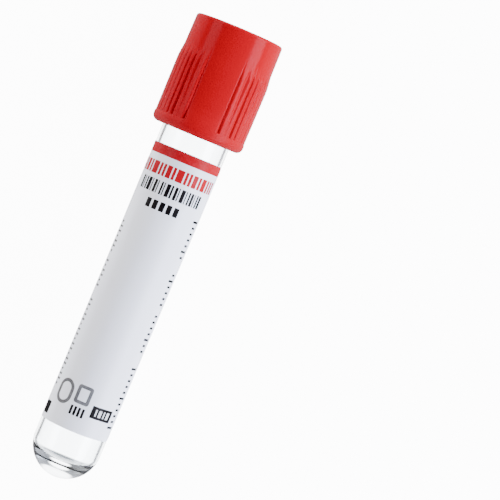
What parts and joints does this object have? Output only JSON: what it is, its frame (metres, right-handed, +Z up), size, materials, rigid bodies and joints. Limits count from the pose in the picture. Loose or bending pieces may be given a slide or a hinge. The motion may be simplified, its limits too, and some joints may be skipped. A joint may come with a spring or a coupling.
{
  "type": "blood collection tube",
  "caption": "Clear round-bottomed blood collection tube with a wrapped label and a ribbed red safety cap over a rubber stopper, lying on its side.",
  "frame": {"origin": "centre of the bounding box's base, on the surface the tube lies on", "axes": "the tube lies on its side: +X towards the cap, +Z up out of the front of the label, +Y to the left of someone looking from the tube's round end towards its cap. The tube's axis is tilted up towards the cap by 2.25 degrees, because the cap is wider than the tube"},
  "size_m": [0.088, 0.0176, 0.0179],
  "materials": {
    "clear_plastic": "clear moulded PET, gloss",
    "label_film": "printed film, satin",
    "red_rubber": "butyl rubber, matt",
    "red_plastic": "moulded, semi-gloss"
  },
  "bodies": {
    "tube": {"tube": "clear_plastic", "label": "label_film"},
    "closure": {"cap": "red_plastic", "stopper": "red_rubber"}
  },
  "joints": [
    {"name": "closure_pull", "type": "slide", "parent": "tube", "child": "closure", "axis": [0.9992, 0, 0.0392], "range_m": [0, 0.026]}
  ]
}
